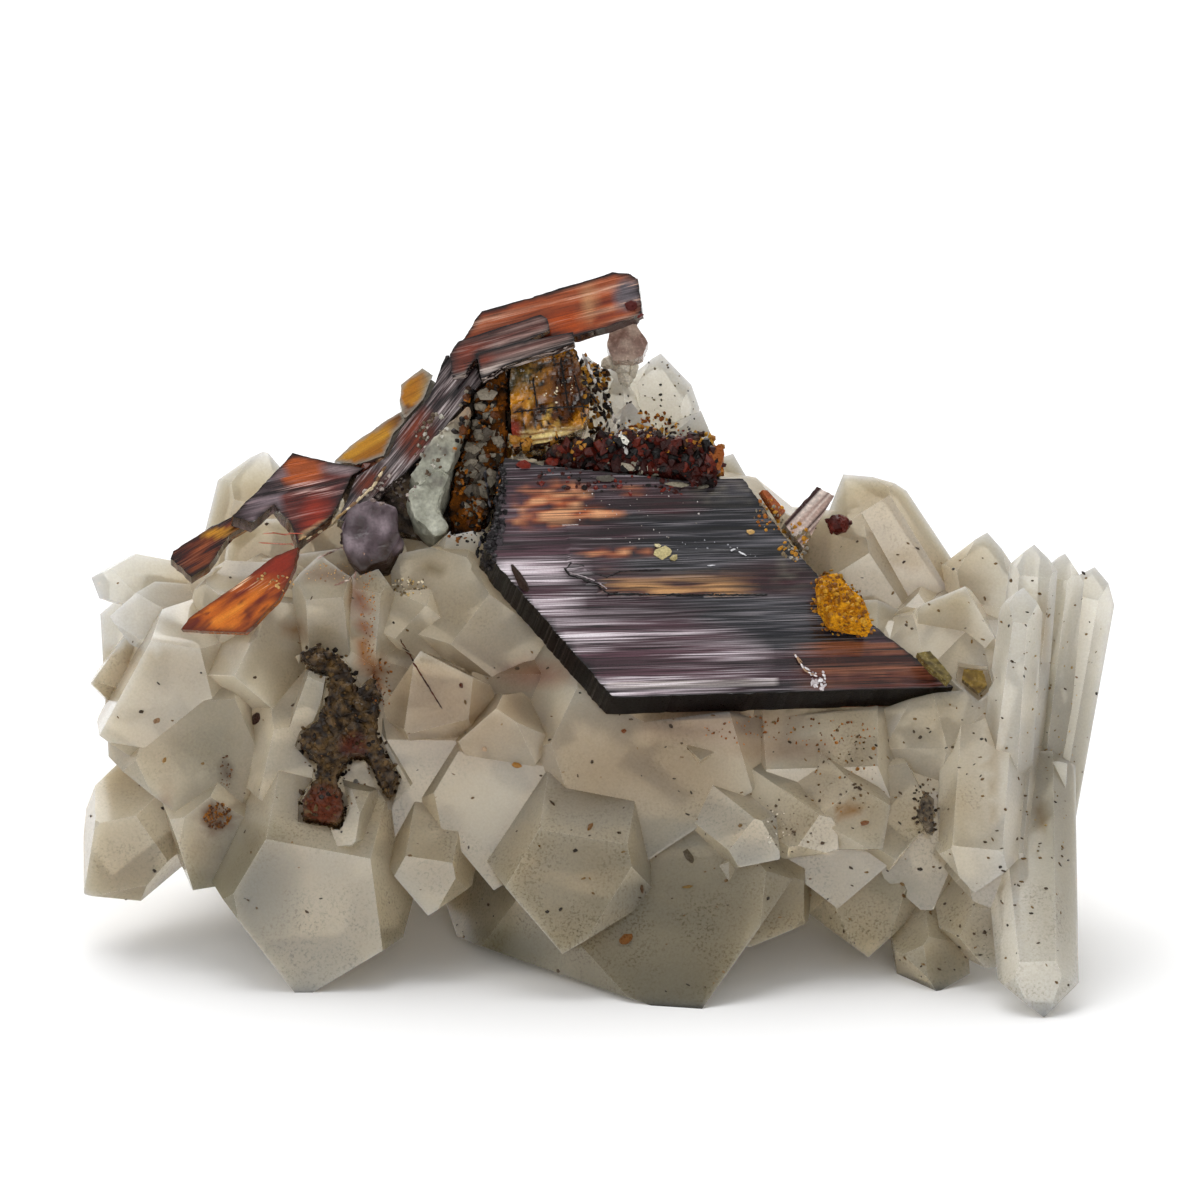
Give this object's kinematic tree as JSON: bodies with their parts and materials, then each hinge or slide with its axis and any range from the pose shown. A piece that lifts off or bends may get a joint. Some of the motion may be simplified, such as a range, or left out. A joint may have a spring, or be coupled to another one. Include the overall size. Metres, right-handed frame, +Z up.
{
  "type": "brookite on quartz mineral specimen",
  "caption": "Cluster of milky quartz points that carries striated mauve-black, orange and amber brookite plates, with rusty iron oxide crusts in the crevices.",
  "frame": {"origin": "middle of the broken flat underneath, which the specimen rests on", "axes": "+Z up from the surface it rests on, +X to the right along its length as seen from the front, -Y to the front, where the large brookite plate shows"},
  "size_m": [0.0523, 0.0308, 0.0314],
  "materials": {
    "quartz_milky": "milky, satin faces",
    "brookite_dark_mauve": "striated, adamantine",
    "brookite_orange": "glossy, translucent",
    "brookite_mauve": "striated",
    "brookite_gold": "glossy",
    "brookite_red_brown": "glossy, translucent",
    "clay_pale_grey": "dull",
    "iron_oxide_dark": "grainy",
    "iron_oxide_rust": "grainy",
    "limonite_ochre": "powdery"
  },
  "bodies": {
    "root": {"quartz_cluster": "quartz_milky", "brookite_main_crystal": "brookite_dark_mauve", "brookite_top_blade": "brookite_orange", "brookite_step_plates": "brookite_mauve", "brookite_golden_book": "brookite_gold", "brookite_round_crystal": "brookite_mauve", "brookite_ridge": "brookite_mauve", "brookite_amber_blades": "brookite_gold", "brookite_left_wing": "brookite_red_brown", "brookite_left_arm": "brookite_red_brown", "brookite_leaf": "brookite_orange", "brookite_dark_lump": "brookite_mauve", "pale_matrix_lumps": "clay_pale_grey", "limonite_crust_left": "limonite_ochre", "brookite_small_book": "brookite_mauve", "brookite_rust_chip": "brookite_orange", "brookite_square_chip": "brookite_gold", "brookite_chip_a": "brookite_gold", "brookite_chip_b": "brookite_gold", "brookite_chip_c": "brookite_gold", "limonite_crust_right": "limonite_ochre", "iron_oxide_crust_top": "iron_oxide_rust", "iron_oxide_crust_left": "iron_oxide_dark", "iron_oxide_crevice_fill": "iron_oxide_dark", "oxide_grain_right": "iron_oxide_rust"}
  },
  "joints": []
}
